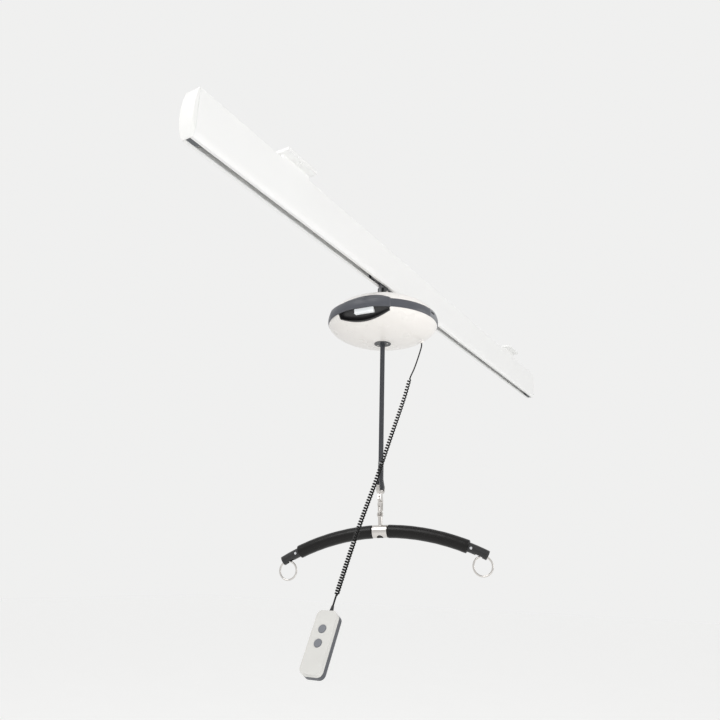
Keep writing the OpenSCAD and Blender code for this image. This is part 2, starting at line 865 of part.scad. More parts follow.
// Round collar clamped on the bar, with a stem up to the eye that the hook holds
module collar() {
    stem_from = bar_z + collar_r - 2;
    color("silver") at_bar() difference() {
        union() {
            translate([0, 0, bar_z]) rod_y(collar_r, -collar_half, 2 * collar_half);
            translate([0, 0, eye_z]) rotate([0, 90, 0]) rotate_extrude()
                translate([eye_r, 0]) circle(r = eye_wire_r);
            translate([0, 0, stem_from]) cylinder(r = collar_stem_r, h = eye_z - eye_r - stem_from);
        }
        translate([0, 0, bar_z]) rod_y(collar_bore, -30, 60);
        translate([0, 0, bar_z]) rotate([0, collar_hole_turn, 0]) translate([0, 0, -30])
            cylinder(r = collar_hole_r, h = 30);
    }
}

// Arched tube; the underside of each open end has a mouth that the ring passes through
module bar_tube() {
    color("black") at_bar() difference() {
        on_arch(-end_angle, end_angle) ring_outline(bar_d / 2, bar_d / 2 - bar_wall);
        for (side = [-1, 1]) {
            translate([0, 0, bar_z - bar_arch_r]) rotate([-side * land_angle, 0, 0])
                translate([-mouth_w / 2, side > 0 ? -mouth_len : 0, bar_arch_r - bar_d])
                    cube([mouth_w, mouth_len, bar_d - 2]);
            at_rivet(side) rod_x(rivet_r, -bar_d, 2 * bar_d);
        }
    }
}

module at_rivet(side) {
    translate([0, side * bar_arch_r * sin(rivet_angle), bar_z - bar_arch_r + bar_arch_r * cos(rivet_angle)])
        children();
}

module bar_rivets() {
    head = 1.2;
    color("white") at_bar() for (side = [-1, 1], face = [-1, 1]) {
        at_rivet(side) union() {
            rod_x(rivet_r - 0.02, face > 0 ? bar_d / 2 - bar_wall - 1 : -bar_d / 2, bar_wall + 1);
            rod_x(rivet_r + 1, face > 0 ? bar_d / 2 : -bar_d / 2 - head, head);
        }
    }
}

module foam(from, to) {
    color("black") at_bar() on_arch(from, to) ring_outline(foam_d / 2, bar_d / 2 + 0.1);
}

module foam_left() {
    foam(collar_angle, foam_angle);
}

module foam_right() {
    foam(-foam_angle, -collar_angle);
}

module ring(side) {
    color("silver") at_bar() translate([0, side * ring_y, ring_z]) rotate([0, 90, 0])
        rotate_extrude() translate([ring_r, 0]) circle(r = ring_wire / 2);
}

module ring_left() {
    ring(1);
}

module ring_right() {
    ring(-1);
}

// Cord

route_lengths = [for (i = 0, s = 0; i < len(route); s = s + (i + 1 < len(route) ? norm(route[i + 1] - route[i]) : 0),
                      i = i + 1) s];
route_total = route_lengths[len(route) - 1];

function route_index(s) = max([for (i = [0 : len(route) - 2]) route_lengths[i] <= s ? i : 0]);

// Change of the route per millimetre at one of its points
function route_slope(i) =
    let (a = max(i - 1, 0), b = min(i + 1, len(route) - 1))
    (route[b] - route[a]) / (route_lengths[b] - route_lengths[a]);

// Smooth curve through the route's points
function route_at(s) =
    let (i = route_index(s), h = route_lengths[i + 1] - route_lengths[i], t = (s - route_lengths[i]) / h)
    let (b = route[i], c = route[i + 1], m = h * route_slope(i), n = h * route_slope(i + 1))
    b + t * (m + t * (3 * (c - b) - 2 * m - n + t * (2 * (b - c) + m + n)));

function route_dir(s) =
    s < 1 ? [0, 0, -1] : s > route_total - 1 ? handset_dir : unit(route_at(s + 0.5) - route_at(s - 0.5));

// Two directions square to a direction, the first one level with the Y axis
function side_dir(d) = unit(cross(d, [0, 1, 0]));
function other_dir(d) = cross(side_dir(d), d);

// Rings of points round a list of centres, each facing a direction
function tube_rings(centres, dirs, r, sides) =
    [for (i = [0 : len(centres) - 1], k = [0 : sides - 1])
        let (a = k * 360 / sides)
        centres[i] + r * (cos(a) * side_dir(dirs[i]) + sin(a) * other_dir(dirs[i]))];

module tube(points, count, sides) {
    walls = [for (i = [0 : count - 2], k = [0 : sides - 1])
        let (p = i * sides + k, q = i * sides + (k + 1) % sides)
        each [[p, q, q + sides], [p, q + sides, p + sides]]];
    first = [for (k = [1 : sides - 2]) [0, k + 1, k]];
    base = (count - 1) * sides;
    last = [for (k = [1 : sides - 2]) [base, base + k, base + k + 1]];
    polyhedron(points, concat(walls, first, last));
}

// Straight stretch of the cord between two lengths along the route
module stretch(from, to) {
    steps = ceil((to - from) / lead_step);
    at = [for (i = [0 : steps]) from + (to - from) * i / steps];
    color("black") tube(tube_rings([for (s = at) route_at(s)], [for (s = at) route_dir(s)], cord_d / 2, cord_sides),
                        steps + 1, cord_sides);
}

curl_start = route_lengths[curl_from];
curl_end = route_lengths[curl_to];
curl_steps = curls * rings_per_curl;
curl_straight = cord_d;

// Length along the route after a number of steps: the curls close up towards the lower end
function curl_length(i) =
    curl_start + (curl_end - curl_start) * (1 - pow(1 - curl_squeeze, i / curl_steps)) / curl_squeeze;

// Distance of the curl's wire from the middle line: nothing at the straight ends, then a smooth rise
function curl_offset(s) =
    let (x = min(s - curl_start, curl_end - s) - curl_straight, t = max(0, min(1, x / 8)))
    curl_r * t * t * (3 - 2 * t);

function curl_at(i) =
    let (s = curl_length(i), a = 360 * i / rings_per_curl, d = route_dir(s))
    route_at(s) + curl_offset(s) * (cos(a) * side_dir(d) + sin(a) * other_dir(d));

function curl_dir(i) =
    i < 0.6 ? route_dir(curl_start) : i > curl_steps - 0.6 ? route_dir(curl_end)
        : unit(curl_at(i + 0.25) - curl_at(i - 0.25));

curl_points = [for (i = [0 : curl_steps]) curl_at(i)];
// Least gap between a wire and the next turns
curl_gap = min([for (i = [0 : curl_steps - rings_per_curl], k = [7 : 9])
    i + k <= curl_steps ? norm(curl_points[i] - curl_points[i + k]) : 100]) - cord_d;
echo(least_curl_gap = curl_gap, route_length = route_total);

module curly_cord() {
    dirs = [for (i = [0 : curl_steps]) curl_dir(i)];
    color("black") tube(tube_rings(curl_points, dirs, cord_d / 2, curl_sides), curl_steps + 1, curl_sides);
}

module cord_lead() {
    stretch(0, curl_start);
}

module cord_tail() {
    stretch(curl_end, route_total);
}

module cord_gland() {
    color("white") translate([gland_at.x, gland_at.y, 0]) union() {
        translate([0, 0, gland_low + gland_taper]) cylinder(r = gland_r, h = 14);
        translate([0, 0, gland_low]) cylinder(r1 = 2.6, r2 = gland_r, h = gland_taper);
    }
}

// Handset

// Frame of the handset: its top at the end of the strain relief, its length along -Z, its face to -X
module at_handset() {
    translate(route[len(route) - 1] + relief_len * handset_dir) rotate([0, 0, handset_yaw])
        rotate([0, handset_pitch, 0]) children();
}

module handset_outline(inset) {
    r = handset_corner - inset;
    w = handset_w / 2 - inset - r;
    low = -handset_len + inset + r;
    high = -inset - r;
    polygon(concat(arc([w, low], r, -90, 0, 8), arc([w, high], r, 0, 90, 8),
                   arc([-w, high], r, 90, 180, 8), arc([-w, low], r, 180, 270, 8)));
}

module relief_hole() {
    translate([0, 0, -8]) cylinder(r = 4.02, h = 10);
}

module handset_front() {
    half = handset_t / 2;
    color("lightgray") at_handset() difference() {
        along_x(-half, half) handset_outline(0);
        along_x(-half + handset_wall, half) handset_outline(handset_wall);
        for (z = button_z) {
            translate([0, 0, z]) rod_x(button_r + gap, -half - 1, handset_wall + 2);
        }
        relief_hole();
    }
}

module handset_back() {
    half = handset_t / 2;
    color("dimgray") at_handset() difference() {
        along_x(0, half) handset_outline(0);
        along_x(-1, half + 1 - handset_wall) handset_outline(handset_wall);
        relief_hole();
    }
}

module button(z) {
    half = handset_t / 2;
    color("gray") at_handset() translate([0, 0, z]) union() {
        rod_x(button_r, -half - 1.6, 9);
        rod_x(button_r + 2, -half + handset_wall + gap, 2);
    }
}

module button_up() {
    button(button_z[0]);
}

module button_down() {
    button(button_z[1]);
}

module cord_relief() {
    color("dimgray") at_handset() union() {
        translate([0, 0, -7]) cylinder(r = 4, h = 8);
        translate([0, 0, 0.2]) cylinder(r1 = 5, r2 = 2.6, h = relief_len - 0.2);
    }
}

rail();
end_cap_near();
end_cap_far();
end_stop_near();
end_stop_far();
hanger_near();
hanger_far();
hanger_screws();
trolley_frame();
axles();
wheel_near_left();
wheel_near_right();
wheel_far_left();
wheel_far_right();
trolley_bracket();
bracket_pin();
upper_shell();
lower_shell();
band();
front_bezel();
band_end();
recess_tray();
display();
chassis();
drum();
drum_gear();
drum_shaft();
shaft_bushes();
motor();
gearbox();
pinion();
battery_near();
battery_far();
circuit_board();
strap_roll();
strap();
strap_end();
strap_exit();
exit_screws();
hook_fork();
fork_pin();
hook_body();
hook_gate();
gate_pin();
collar();
bar_tube();
foam_left();
foam_right();
bar_rivets();
ring_left();
ring_right();
cord_gland();
cord_lead();
curly_cord();
cord_tail();
cord_relief();
handset_front();
handset_back();
button_up();
button_down();
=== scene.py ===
import json
import math

import bmesh
import bpy
import numpy as np
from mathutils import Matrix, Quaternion, Vector


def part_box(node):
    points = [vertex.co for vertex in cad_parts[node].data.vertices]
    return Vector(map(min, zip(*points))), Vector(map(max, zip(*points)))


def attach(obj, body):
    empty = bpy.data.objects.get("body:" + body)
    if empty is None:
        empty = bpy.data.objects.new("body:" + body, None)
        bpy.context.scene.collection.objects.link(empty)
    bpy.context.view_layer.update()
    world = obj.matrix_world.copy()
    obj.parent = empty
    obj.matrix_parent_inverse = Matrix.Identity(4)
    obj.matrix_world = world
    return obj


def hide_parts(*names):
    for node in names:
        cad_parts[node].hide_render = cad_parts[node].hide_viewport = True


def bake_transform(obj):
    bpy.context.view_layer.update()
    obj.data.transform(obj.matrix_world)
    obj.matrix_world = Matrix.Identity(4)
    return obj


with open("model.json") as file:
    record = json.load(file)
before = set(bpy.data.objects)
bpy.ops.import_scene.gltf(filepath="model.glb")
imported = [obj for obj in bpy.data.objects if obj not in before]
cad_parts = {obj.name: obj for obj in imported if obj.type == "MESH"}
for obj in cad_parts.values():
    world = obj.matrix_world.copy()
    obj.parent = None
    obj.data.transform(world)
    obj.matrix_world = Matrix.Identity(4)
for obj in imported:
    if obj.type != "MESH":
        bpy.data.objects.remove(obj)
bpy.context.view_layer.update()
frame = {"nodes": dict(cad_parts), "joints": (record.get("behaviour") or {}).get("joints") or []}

# Camera: stands low, beside the rail and behind the near end of it, and looks up at the hoist. Its place is
# in metres, and it leans a little to one side.
camera_place = (-1.8848, -0.8917, -0.9719)
camera_heading = math.radians(31.77)
camera_pitch = math.radians(18.21)
camera_roll = math.radians(1.5)
camera_data = bpy.data.cameras.new("camera")
camera_data.sensor_width = 36.0
camera_data.lens = 32.25
camera_data.clip_end = 60.0
camera = bpy.data.objects.new("camera", camera_data)
bpy.context.scene.collection.objects.link(camera)
look = Vector((math.cos(camera_heading) * math.cos(camera_pitch),
               math.sin(camera_heading) * math.cos(camera_pitch),
               math.sin(camera_pitch)))
camera.location = camera_place
camera.rotation_mode = "QUATERNION"
camera.rotation_quaternion = look.to_track_quat("-Z", "Y") @ Quaternion((0, 0, 1), camera_roll)
bpy.context.scene.camera = camera
bpy.context.scene.view_settings.view_transform = "Standard"


# Handset cord: a black flexible lead that leaves the pod's gland, runs straight for a hand's width, is
# wound into curls that close up towards the lower end, and ends straight in the handset's strain relief.
mm = 0.001
cord_diameter = 3.9 * mm
curl_diameter = 11.6 * mm
curl_turns = 81
curl_squeeze = 0.48
curl_run_in = 8.0 * mm
turn_steps = 16
lead_steps = 32
tail_steps = 8
cord_sides = 12
slope_reach = 0.4 * mm
# The curls run from one point of the route to another.
curl_first = 5
curl_last = 13
cord_route = mm * np.array([
    [-237, -87.5, -314], [-238.3, -87.8, -323], [-250, -89.3, -342], [-270, -90, -375], [-292, -89.5, -411],
    [-313, -88, -442], [-352, -89.3, -511], [-420, -89.3, -623], [-465, -89.4, -698], [-506, -89, -767],
    [-562, -87.7, -856], [-615, -87.5, -945], [-642, -88, -991], [-662, -88.5, -1025],
    [-666.5, -88.8, -1032.5], [-671, -89.1, -1040]], float)


class Value:
    """A socket of a node tree on which arithmetic adds Math nodes, so that formulas read as written."""

    def __init__(self, tree, socket):
        self.tree = tree
        self.socket = socket

    def math(self, operation, first, second):
        """A Math node on two values or numbers."""
        node = self.tree.nodes.new("ShaderNodeMath")
        node.operation = operation
        for slot, value in zip(node.inputs, (first, second)):
            feed(self.tree, slot, value)
        return Value(self.tree, node.outputs[0])

    def __add__(self, other):
        return self.math("ADD", self, other)

    def __radd__(self, other):
        return self.math("ADD", other, self)

    def __sub__(self, other):
        return self.math("SUBTRACT", self, other)

    def __rsub__(self, other):
        return self.math("SUBTRACT", other, self)

    def __mul__(self, other):
        return self.math("MULTIPLY", self, other)

    def __rmul__(self, other):
        return self.math("MULTIPLY", other, self)

    def __gt__(self, other):
        return self.math("GREATER_THAN", self, other)

    def __lt__(self, other):
        return self.math("LESS_THAN", self, other)


def feed(tree, slot, value):
    """Links a Value to an input socket, or writes a plain number or colour on it."""
    if isinstance(value, Value):
        tree.links.new(value.socket, slot)
    else:
        slot.default_value = value


class Finish:
    """A material with a Principled shader; what is the same all over is on the shader's own sockets."""

    def __init__(self, name, **constants):
        self.material = bpy.data.materials.new(name)
        self.material.use_nodes = True
        self.tree = self.material.node_tree
        self.shader = self.tree.nodes["Principled BSDF"]
        for socket, value in constants.items():
            self.shader.inputs[socket.replace("_", " ")].default_value = value

    def add(self, kind, settings=None, inputs=None, out=0):
        """A node of a kind: its settings are written first, then its inputs. Gives one of its outputs."""
        node = self.tree.nodes.new("ShaderNode" + kind)
        for key, value in (settings or {}).items():
            setattr(node, key, value)
        for key, value in (inputs or {}).items():
            feed(self.tree, node.inputs[key], value)
        return Value(self.tree, node.outputs[out])

    def object_place(self):
        """Object coordinates, in metres."""
        return self.add("TexCoord", out=3)

    def noise(self, scale, detail=3.0, stretch=None):
        """Cloudy noise over Object coordinates, scale per metre, drawn out along axes by a stretch factor."""
        place = self.object_place()
        if stretch is not None:
            place = self.add("Mapping", None, {"Vector": place, "Scale": stretch})
        return self.add("TexNoise", None, {"Vector": place, "Scale": scale, "Detail": detail})

    def mix(self, factor, first, second):
        """A colour between two colours."""
        return self.add("Mix", {"data_type": "RGBA"}, {0: factor, 6: first, 7: second}, out=2)

    def set(self, socket, value):
        """Feeds one of the shader's sockets."""
        feed(self.tree, self.shader.inputs[socket], value)

    def bump(self, height, strength, distance):
        """Turns a height into a Normal by a Bump node."""
        normal = self.add("Bump", None, {"Height": height, "Strength": strength, "Distance": distance})
        self.set("Normal", normal)


def shown(red, green, blue):
    """A colour from display values of 0 to 255, as linear light."""
    share = np.array([red, green, blue]) / 255
    linear = np.where(share <= 0.04045, share / 12.92, ((share + 0.055) / 1.055) ** 2.4)
    return (*linear.tolist(), 1.0)


def unit(vectors):
    """Vectors over their lengths."""
    return vectors / np.linalg.norm(vectors, axis=-1, keepdims=True)


def smooth(x):
    """A smooth rise from 0 to 1 for x from 0 to 1: three times its square less twice its cube."""
    x = np.clip(x, 0, 1)
    return x * x * (3 - 2 * x)


def full_turn(steps):
    """Angles once round in even steps."""
    return np.arange(steps) * 2 * np.pi / steps


def lengths_along(points):
    """The length of a path of straight steps up to each of its points."""
    return np.concatenate([[0], np.cumsum(np.linalg.norm(np.diff(points, axis=0), axis=1))])


def along_route(points, s):
    """Points at lengths s along a smooth curve through points: between two of them it is the cubic whose
    slope at each is the step between the neighbours on both sides over the length between those."""
    starts = lengths_along(points)
    steps = np.diff(starts)
    before = np.maximum(np.arange(len(points)) - 1, 0)
    after = np.minimum(np.arange(len(points)) + 1, len(points) - 1)
    slope = (points[after] - points[before]) / (starts[after] - starts[before])[:, None]
    i = np.clip(np.searchsorted(starts, s, side="right") - 1, 0, len(steps) - 1)
    h = steps[i][:, None]
    t = (s - starts[i])[:, None] / h
    b, c, m, n = points[i], points[i + 1], h * slope[i], h * slope[i + 1]
    return b + t * (m + t * (3 * (c - b) - 2 * m - n + t * (2 * (b - c) + m + n)))


def add_grid(name, grid, finish, wrap_rows=False, wrap_cols=True, uv_rows=None, uv_cols=None):
    """A mesh from a grid of points of rows by columns, closed on itself along either way that wraps. Rows
    that shrink to a point close an end. The UV map has its values from lists along rows and columns."""
    rows, cols = grid.shape[:2]
    row_steps = rows if wrap_rows else rows - 1
    col_steps = cols if wrap_cols else cols - 1
    i, j = np.meshgrid(np.arange(row_steps), np.arange(col_steps), indexing="ij")
    corner_i = np.stack([i, i, i + 1, i + 1], -1).reshape(-1, 4)
    corner_j = np.stack([j, j + 1, j + 1, j], -1).reshape(-1, 4)
    faces = (corner_i % rows) * cols + corner_j % cols
    mesh = bpy.data.meshes.new(name)
    mesh.from_pydata(grid.reshape(-1, 3).tolist(), [], faces.tolist())
    if uv_rows is None:
        uv_rows = np.linspace(0, 1, rows + 1)
    if uv_cols is None:
        uv_cols = np.linspace(0, 1, cols + 1)
    uv = np.stack([np.asarray(uv_cols)[corner_j], np.asarray(uv_rows)[corner_i]], -1)
    layer = mesh.uv_layers.new(name="along")
    layer.data.foreach_set("uv", uv.astype(np.float32).ravel())
    merged = bmesh.new()
    merged.from_mesh(mesh)
    bmesh.ops.remove_doubles(merged, verts=merged.verts, dist=1e-7)
    bmesh.ops.recalc_face_normals(merged, faces=merged.faces)
    merged.to_mesh(mesh)
    merged.free()
    mesh.polygons.foreach_set("use_smooth", np.ones(len(mesh.polygons), bool))
    mesh.materials.append(finish.material)
    piece = bpy.data.objects.new(name, mesh)
    bpy.context.scene.collection.objects.link(piece)
    return piece


def put(piece, body, slot, *nodes):
    """Rides a piece on a body and hides the solids that it stands for; the slot is not used."""
    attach(piece, body)
    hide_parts(*nodes)
    return piece


route_starts = lengths_along(cord_route)
curl_start = route_starts[curl_first]
curl_end = route_starts[curl_last]
curl_share = np.linspace(0, 1, curl_turns * turn_steps + 1)
curl_s = curl_start + (curl_end - curl_start) * (1 - (1 - curl_squeeze) ** curl_share) / curl_squeeze
cord_s = np.concatenate([np.linspace(0, curl_start, lead_steps + 1)[:-1], curl_s,
                         np.linspace(curl_end, route_starts[-1], tail_steps + 1)[1:]])
cord_middle = along_route(cord_route, cord_s)
cord_way = unit(along_route(cord_route, np.minimum(cord_s + slope_reach, route_starts[-1]))
                - along_route(cord_route, np.maximum(cord_s - slope_reach, 0)))
cord_side = unit(np.cross(cord_way, [0, 1, 0]))
cord_other = np.cross(cord_side, cord_way)
curl_angle = 2 * np.pi * curl_turns * np.concatenate([np.zeros(lead_steps), curl_share, np.ones(tail_steps)])
curl_rise = smooth((np.minimum(cord_s - curl_start, curl_end - cord_s) - cord_diameter) / curl_run_in)
cord_out = np.cos(curl_angle)[:, None] * cord_side + np.sin(curl_angle)[:, None] * cord_other
cord_wire = cord_middle + (curl_diameter - cord_diameter) / 2 * curl_rise[:, None] * cord_out


def round_tube(path, out, radius, sides):
    """Rings of points round a path: each ring lies square to the path and starts at the direction out."""
    way = unit(np.gradient(path, axis=0))
    first = unit(out - np.sum(out * way, axis=1, keepdims=True) * way)
    second = np.cross(way, first)
    turn = full_turn(sides)
    ring = (np.cos(turn)[None, :, None] * first[:, None] + np.sin(turn)[None, :, None] * second[:, None])
    rings = path[:, None] + radius * ring
    start = np.repeat(path[:1, None], sides, axis=1)
    end = np.repeat(path[-1:, None], sides, axis=1)
    return np.concatenate([start, rings, end])


cord_black = Finish("cord_black", Roughness=0.4, Specular_IOR_Level=0.2)
cord_cloud = cord_black.noise(180, 2)
cord_black.set("Base Color", cord_black.mix(cord_cloud, shown(9, 9, 9), shown(16, 15, 15)))
cord_black.bump(cord_black.noise(2600, 2), 0.08, 0.0002)
cord_mesh = round_tube(cord_wire, cord_out, cord_diameter / 2, cord_sides)
handset_cord = add_grid("handset_cord", cord_mesh, cord_black)
put(handset_cord, "carriage", "cord_black", "cord_lead", "curly_cord", "cord_tail")


def softened(node, body, slot, finish, edge, segments=2, angle=32):
    """A copy of a solid with its loose triangles joined, flat faces made whole and sharp edges rounded.
    Edges that turn by more than an angle in degrees are sharp."""
    mesh = frame["nodes"][node].data.copy()
    mesh.name = node + "_finished"
    joined = bmesh.new()
    joined.from_mesh(mesh)
    bmesh.ops.remove_doubles(joined, verts=joined.verts, dist=2e-6)
    bmesh.ops.dissolve_limit(joined, angle_limit=math.radians(0.4), verts=joined.verts, edges=joined.edges)
    joined.to_mesh(mesh)
    joined.free()
    mesh.polygons.foreach_set("use_smooth", np.ones(len(mesh.polygons), bool))
    mesh.set_sharp_from_angle(angle=math.radians(angle))
    mesh.materials.clear()
    mesh.materials.append(finish.material)
    piece = bpy.data.objects.new(node + "_finished", mesh)
    bpy.context.scene.collection.objects.link(piece)
    bevel = piece.modifiers.new("rounded_edges", "BEVEL")
    bevel.width = edge
    bevel.segments = segments
    bevel.limit_method = "ANGLE"
    bevel.angle_limit = math.radians(angle)
    bevel.harden_normals = True
    return put(piece, body, slot, node)


# Strain relief: a tapered black moulding that holds the cord where it enters the handset, so that it doesn't
# kink there.
relief_black = Finish("relief_black", Roughness=0.5)
relief_cloud = relief_black.noise(300, 2)
relief_black.set("Base Color", relief_black.mix(relief_cloud, shown(26, 26, 27), shown(40, 40, 41)))
relief_black.bump(relief_black.noise(1800, 2), 0.1, 0.0002)
cord_relief = softened("cord_relief", "carriage", "cord_black", relief_black, 0.4 * mm)


# Handset: a pale moulded front shell and a grey moulded back shell that meet along a seam, with two round
# buttons in the front, one above the other.
def moulded(name, low, high, roughness, grain=2200, coat=0.0):
    """Moulded plastic: a faint cloudy colour between two tones over a fine spark-eroded grain."""
    finish = Finish(name, Coat_Weight=coat)
    cloud = finish.noise(26, 2)
    finish.set("Base Color", finish.mix(cloud, low, high))
    finish.set("Roughness", roughness - 0.06 + 0.12 * finish.noise(70, 2))
    finish.bump(finish.noise(grain, 2), 0.06, 0.0002)
    return finish


handset_pale = moulded("handset_pale", shown(205, 204, 200), shown(214, 213, 209), 0.42)
handset_grey = moulded("handset_grey", shown(72, 74, 79), shown(80, 82, 88), 0.45)
button_grey = moulded("button_grey", shown(108, 111, 117), shown(118, 121, 127), 0.4)
softened("handset_front", "carriage", "handset_pale", handset_pale, 3.2 * mm, 4)
softened("handset_back", "carriage", "band_grey", handset_grey, 3.2 * mm, 4)
for way in ("up", "down"):
    softened("button_" + way, way + "_button", "button_grey", button_grey, 1.0 * mm, 3)


# Rail: an aluminium extrusion with a white powder coat, with a running slot along its underside; bowed white
# caps close its ends, and rubber buffers inside stop the trolley.
rail_white = Finish("rail_white", Specular_IOR_Level=0.22)
rail_cloud = rail_white.noise(6, 2, (0.2, 1, 1))
rail_white.set("Base Color", rail_white.mix(rail_cloud, shown(238, 238, 237), shown(246, 246, 245)))
rail_white.set("Roughness", 0.42 + 0.1 * rail_white.noise(40, 2))
rail_white.bump(rail_white.noise(900, 2), 0.05, 0.0003)
softened("rail", "track", "rail_white", rail_white, 0.8 * mm, 2, 50)
cap_white = moulded("cap_white", shown(238, 238, 236), shown(244, 244, 242), 0.4)
for end in ("near", "far"):
    softened("end_cap_" + end, "track", "cap_white", cap_white, 2.0 * mm, 3)
buffer_rubber = moulded("buffer_rubber", shown(92, 95, 98), shown(106, 109, 112), 0.72, 900)
for end in ("near", "far"):
    softened("end_stop_" + end, "track", "dark_rubber", buffer_rubber, 1.5 * mm)


# Hanger plates and screws: white-coated steel plates with a spacer, screwed down into the rail's top with
# zinc-plated screws.
def metal(name, colour, roughness, brush=(1, 1, 1), scratch=0.04):
    """Metal whose roughness and fine bump run in streaks along the axis that the brush factors draw out."""
    finish = Finish(name, Metallic=1.0)
    streak = finish.noise(900, 3, brush)
    stain = finish.noise(18, 3)
    tone = tuple(0.86 * c for c in colour[:3]) + (1.0,)
    finish.set("Base Color", finish.mix(stain, tone, colour))
    finish.set("Roughness", roughness - 0.05 + 0.1 * streak)
    finish.bump(streak, scratch, 0.0002)
    return finish


zinc = metal("zinc_plate", (0.62, 0.63, 0.65, 1), 0.36, (0.2, 1, 1))
bright_steel = metal("bright_steel", (0.66, 0.635, 0.61, 1), 0.16, (1, 1, 0.15), 0.012)
for end in ("near", "far"):
    softened("hanger_" + end, "track", "rail_white", rail_white, 0.8 * mm)
softened("hanger_screws", "track", "zinc_steel", zinc, 0.3 * mm)


# Trolley: a steel plate on two axles that rolls inside the rail on nylon wheels, and the dark bracket under
# it that carries the pod on a pin. The plate's zinc and the bracket's grey are painted darker than their own
# colours, as painted shade between the rail and the pod.
# Painted shade: this zinc is much darker than bare zinc plate, to stand in for the shade inside the rail.
zinc_with_painted_shade = metal("zinc_with_painted_shade", (0.28, 0.28, 0.29, 1), 0.46, (0.2, 1, 1))
softened("trolley_frame", "carriage", "zinc_steel", zinc_with_painted_shade, 0.6 * mm)
softened("axles", "carriage", "bright_steel", bright_steel, 0.3 * mm)
softened("bracket_pin", "carriage", "bright_steel", bright_steel, 0.5 * mm)
wheel_nylon = moulded("wheel_nylon", shown(44, 44, 46), shown(58, 58, 60), 0.5)
for corner in ("near_left", "near_right", "far_left", "far_right"):
    softened("wheel_" + corner, corner + "_wheel", "wheel_plastic", wheel_nylon, 0.8 * mm)
# Painted shade: the bracket's own dark grey is made darker still, for the shade between the rail and the pod.
bracket_grey = moulded("bracket_grey", shown(38, 39, 40), shown(48, 49, 50), 0.5)
softened("trolley_bracket", "carriage", "bracket_grey", bracket_grey, 1.2 * mm, 3)


# Pod shells: two glossy warm-white mouldings in the form of a flattened ball. The lower one has a notch in
# front for the recess, with a thick rounded rim, and a white gland through which the cord leaves.
pod_middle = mm * np.array([-320.0, 0.0, -265.0])
pod_radius = 163.0 * mm
pod_up = 75.0 * mm
pod_down = 63.0 * mm
shell_wall = 3.0 * mm
shell_gap = 0.2 * mm
shell_edge = 0.3 * mm
exit_hole = 20.3 * mm
stem_hole = 15.0 * mm
band_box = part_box("band")
band_low = band_box[0].z - pod_middle[2]
band_top = band_box[1].z - pod_middle[2]


def pod_ring(azimuth, z, grow=0.0):
    """Points of the pod, grown by a distance: at a height z the radius is that of an ellipse whose upright
    half axis differs above and below the widest line; azimuth counts from the front, -X, towards -Y."""
    upright = np.where(z > 0, pod_up, pod_down) + grow
    r = (pod_radius + grow) * np.sqrt(np.maximum(0, 1 - (z / upright) ** 2))
    return np.stack(np.broadcast_arrays(-r * np.cos(azimuth), -r * np.sin(azimuth), z), -1)


def pod_out(points):
    """Outward direction on the pod: each coordinate over the square of its half axis."""
    upright = np.where(points[..., 2:] > 0, pod_up, pod_down)
    return unit(np.concatenate([points[..., :2] / pod_radius ** 2, points[..., 2:] / upright ** 2], -1))


tray_low, tray_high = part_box("recess_tray")
tray_gap = 0.3 * mm
recess_radius = 180.0 * mm
recess_y = -11.0 * mm
recess_low = tray_low.z - tray_gap - pod_middle[2]
recess_left = tray_high.y + tray_gap
recess_right = tray_low.y - tray_gap
rim = 2.6 * mm
rim_rise = 4.0 * mm
rim_rows = 8
notch_run = 12.0 * mm
notch_foot = 1.5 * mm
notch_corner = 6.0 * mm
notch_bend = 1.0 * mm
notch_step = 1.0 * mm
level_steps = 320
lower_rows = 60
upper_rows = 40
gather = 6
around = full_turn(480)


def rounded_path(corners, radii, step):
    """A path through corners in a plane, each cut off by an arc of its radius, with even steps along it."""
    pieces = [corners[:1]]
    for before, corner, after, radius in zip(corners[:-2], corners[1:-1], corners[2:], radii):
        back = unit(before - corner)
        on = unit(after - corner)
        half = math.acos(float(np.clip(back @ on, -1, 1))) / 2
        reach = radius / math.tan(half)
        middle = corner + unit(back + on) * radius / math.sin(half)
        ends = corner + reach * np.stack([back, on]) - middle
        share = np.linspace(0, 1, 13)[:, None]
        pieces.append(middle + radius * unit(ends[0] * (1 - share) + ends[1] * share))
    path = np.concatenate(pieces + [corners[-1:]])
    lengths = lengths_along(path)
    at = np.linspace(0, lengths[-1], int(lengths[-1] / step))
    return np.stack([np.interp(at, lengths, path[:, k]) for k in (0, 1)], -1)


def notch_edge():
    """Azimuth and height of the lower shell's upper edge, all the way round: level under the band, and in
    front down, along and up round the recess, a rim's width outside it. The notch is first drawn in front
    view."""
    level = band_low - shell_gap
    left = recess_left + rim
    right = recess_right - rim
    across = np.linspace(left, right, 60)
    reach = recess_radius + rim
    low = recess_low + recess_radius - np.sqrt(reach ** 2 - (across - recess_y) ** 2)
    arc = np.stack([across, low], -1)
    start = [[left + notch_run, level], [left, level]]
    end = [[right, level], [right - notch_run, level]]
    corners = np.concatenate([start, arc, end])
    radii = [notch_foot, notch_corner] + [notch_bend] * (len(arc) - 2) + [notch_corner, notch_foot]
    front = rounded_path(corners, radii, notch_step)
    radius = pod_radius * np.sqrt(1 - (front[:, 1] / pod_down) ** 2)
    turn = np.arcsin(-front[:, 0] / radius)
    rest = np.linspace(turn[-1], turn[0] + 2 * np.pi, level_steps + 1)[1:-1]
    edge_z = np.concatenate([front[:, 1], np.full(len(rest), level)])
    return np.concatenate([turn, rest]), edge_z, len(turn)


